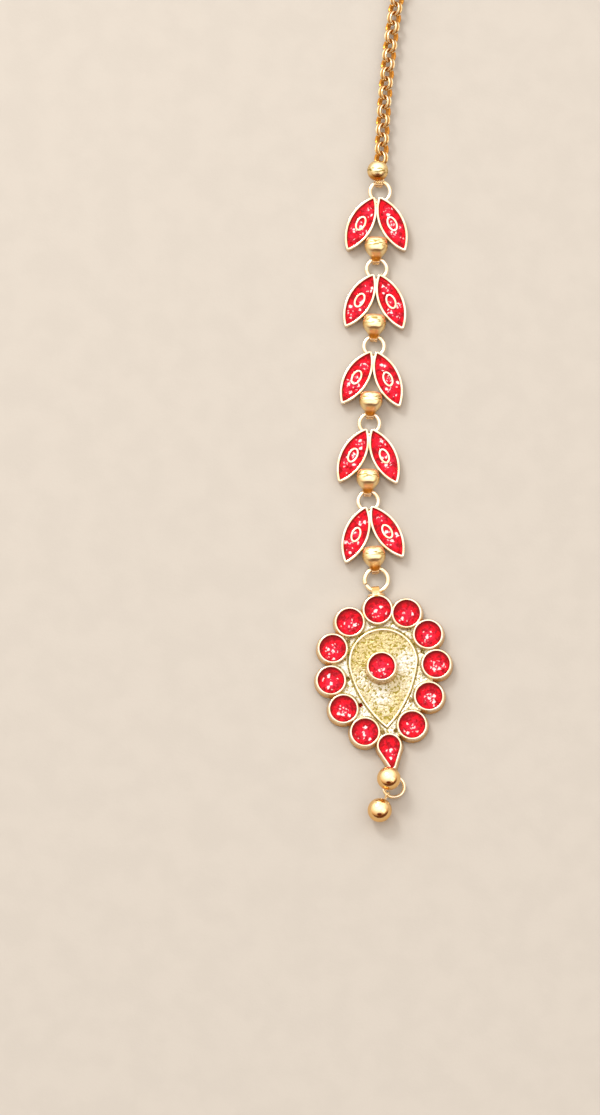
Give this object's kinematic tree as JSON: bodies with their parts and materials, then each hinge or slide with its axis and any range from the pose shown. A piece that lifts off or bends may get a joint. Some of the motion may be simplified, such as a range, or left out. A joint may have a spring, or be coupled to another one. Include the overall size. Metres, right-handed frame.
{
  "type": "maang tikka",
  "caption": "Gold-plated head ornament: paired red enamel leaf links in a row, a pendant of round enamel cells round a sunk teardrop, ball drops, and a link chain to a hair hook.",
  "frame": {"origin": "middle of the part's outline on the surface that it lies on, face up", "axes": "+Y along the ornament towards the hair hook, +Z out of the enamelled face, +X to the right for someone who looks at the face with the hook at the top"},
  "size_m": [0.0262, 0.1714, 0.006],
  "materials": {
    "gold_casting": "cast metal, gold plated and polished",
    "gold_wire": "drawn wire, gold plated and polished",
    "gold_chain": "grooved round links, gold plated and polished",
    "gold_ball": "plain balls, gold plated, mirror polished",
    "red_enamel": "glossy translucent red enamel with pale flecks"
  },
  "bodies": {
    "root": {"leaf_link_1": "gold_casting", "leaf_link_2": "gold_casting", "leaf_link_3": "gold_casting", "leaf_link_4": "gold_casting", "leaf_link_5": "gold_casting", "pendant_frame": "gold_casting", "top_connector": "gold_casting", "upper_ball": "gold_ball", "lower_ball": "gold_ball", "pendant_ring": "gold_wire", "tip_ring": "gold_wire", "hair_hook": "gold_wire", "chain": "gold_chain", "boss_enamel": "red_enamel", "drop_enamel": "red_enamel", "cell_enamel_1": "red_enamel", "cell_enamel_2": "red_enamel", "cell_enamel_3": "red_enamel", "cell_enamel_4": "red_enamel", "cell_enamel_5": "red_enamel", "cell_enamel_6": "red_enamel", "cell_enamel_7": "red_enamel", "cell_enamel_8": "red_enamel", "cell_enamel_9": "red_enamel", "cell_enamel_10": "red_enamel", "cell_enamel_11": "red_enamel", "leaf_enamel_1_left": "red_enamel", "leaf_enamel_1_right": "red_enamel", "leaf_enamel_2_left": "red_enamel", "leaf_enamel_2_right": "red_enamel", "leaf_enamel_3_left": "red_enamel", "leaf_enamel_3_right": "red_enamel", "leaf_enamel_4_left": "red_enamel", "leaf_enamel_4_right": "red_enamel", "leaf_enamel_5_left": "red_enamel", "leaf_enamel_5_right": "red_enamel"}
  },
  "joints": []
}
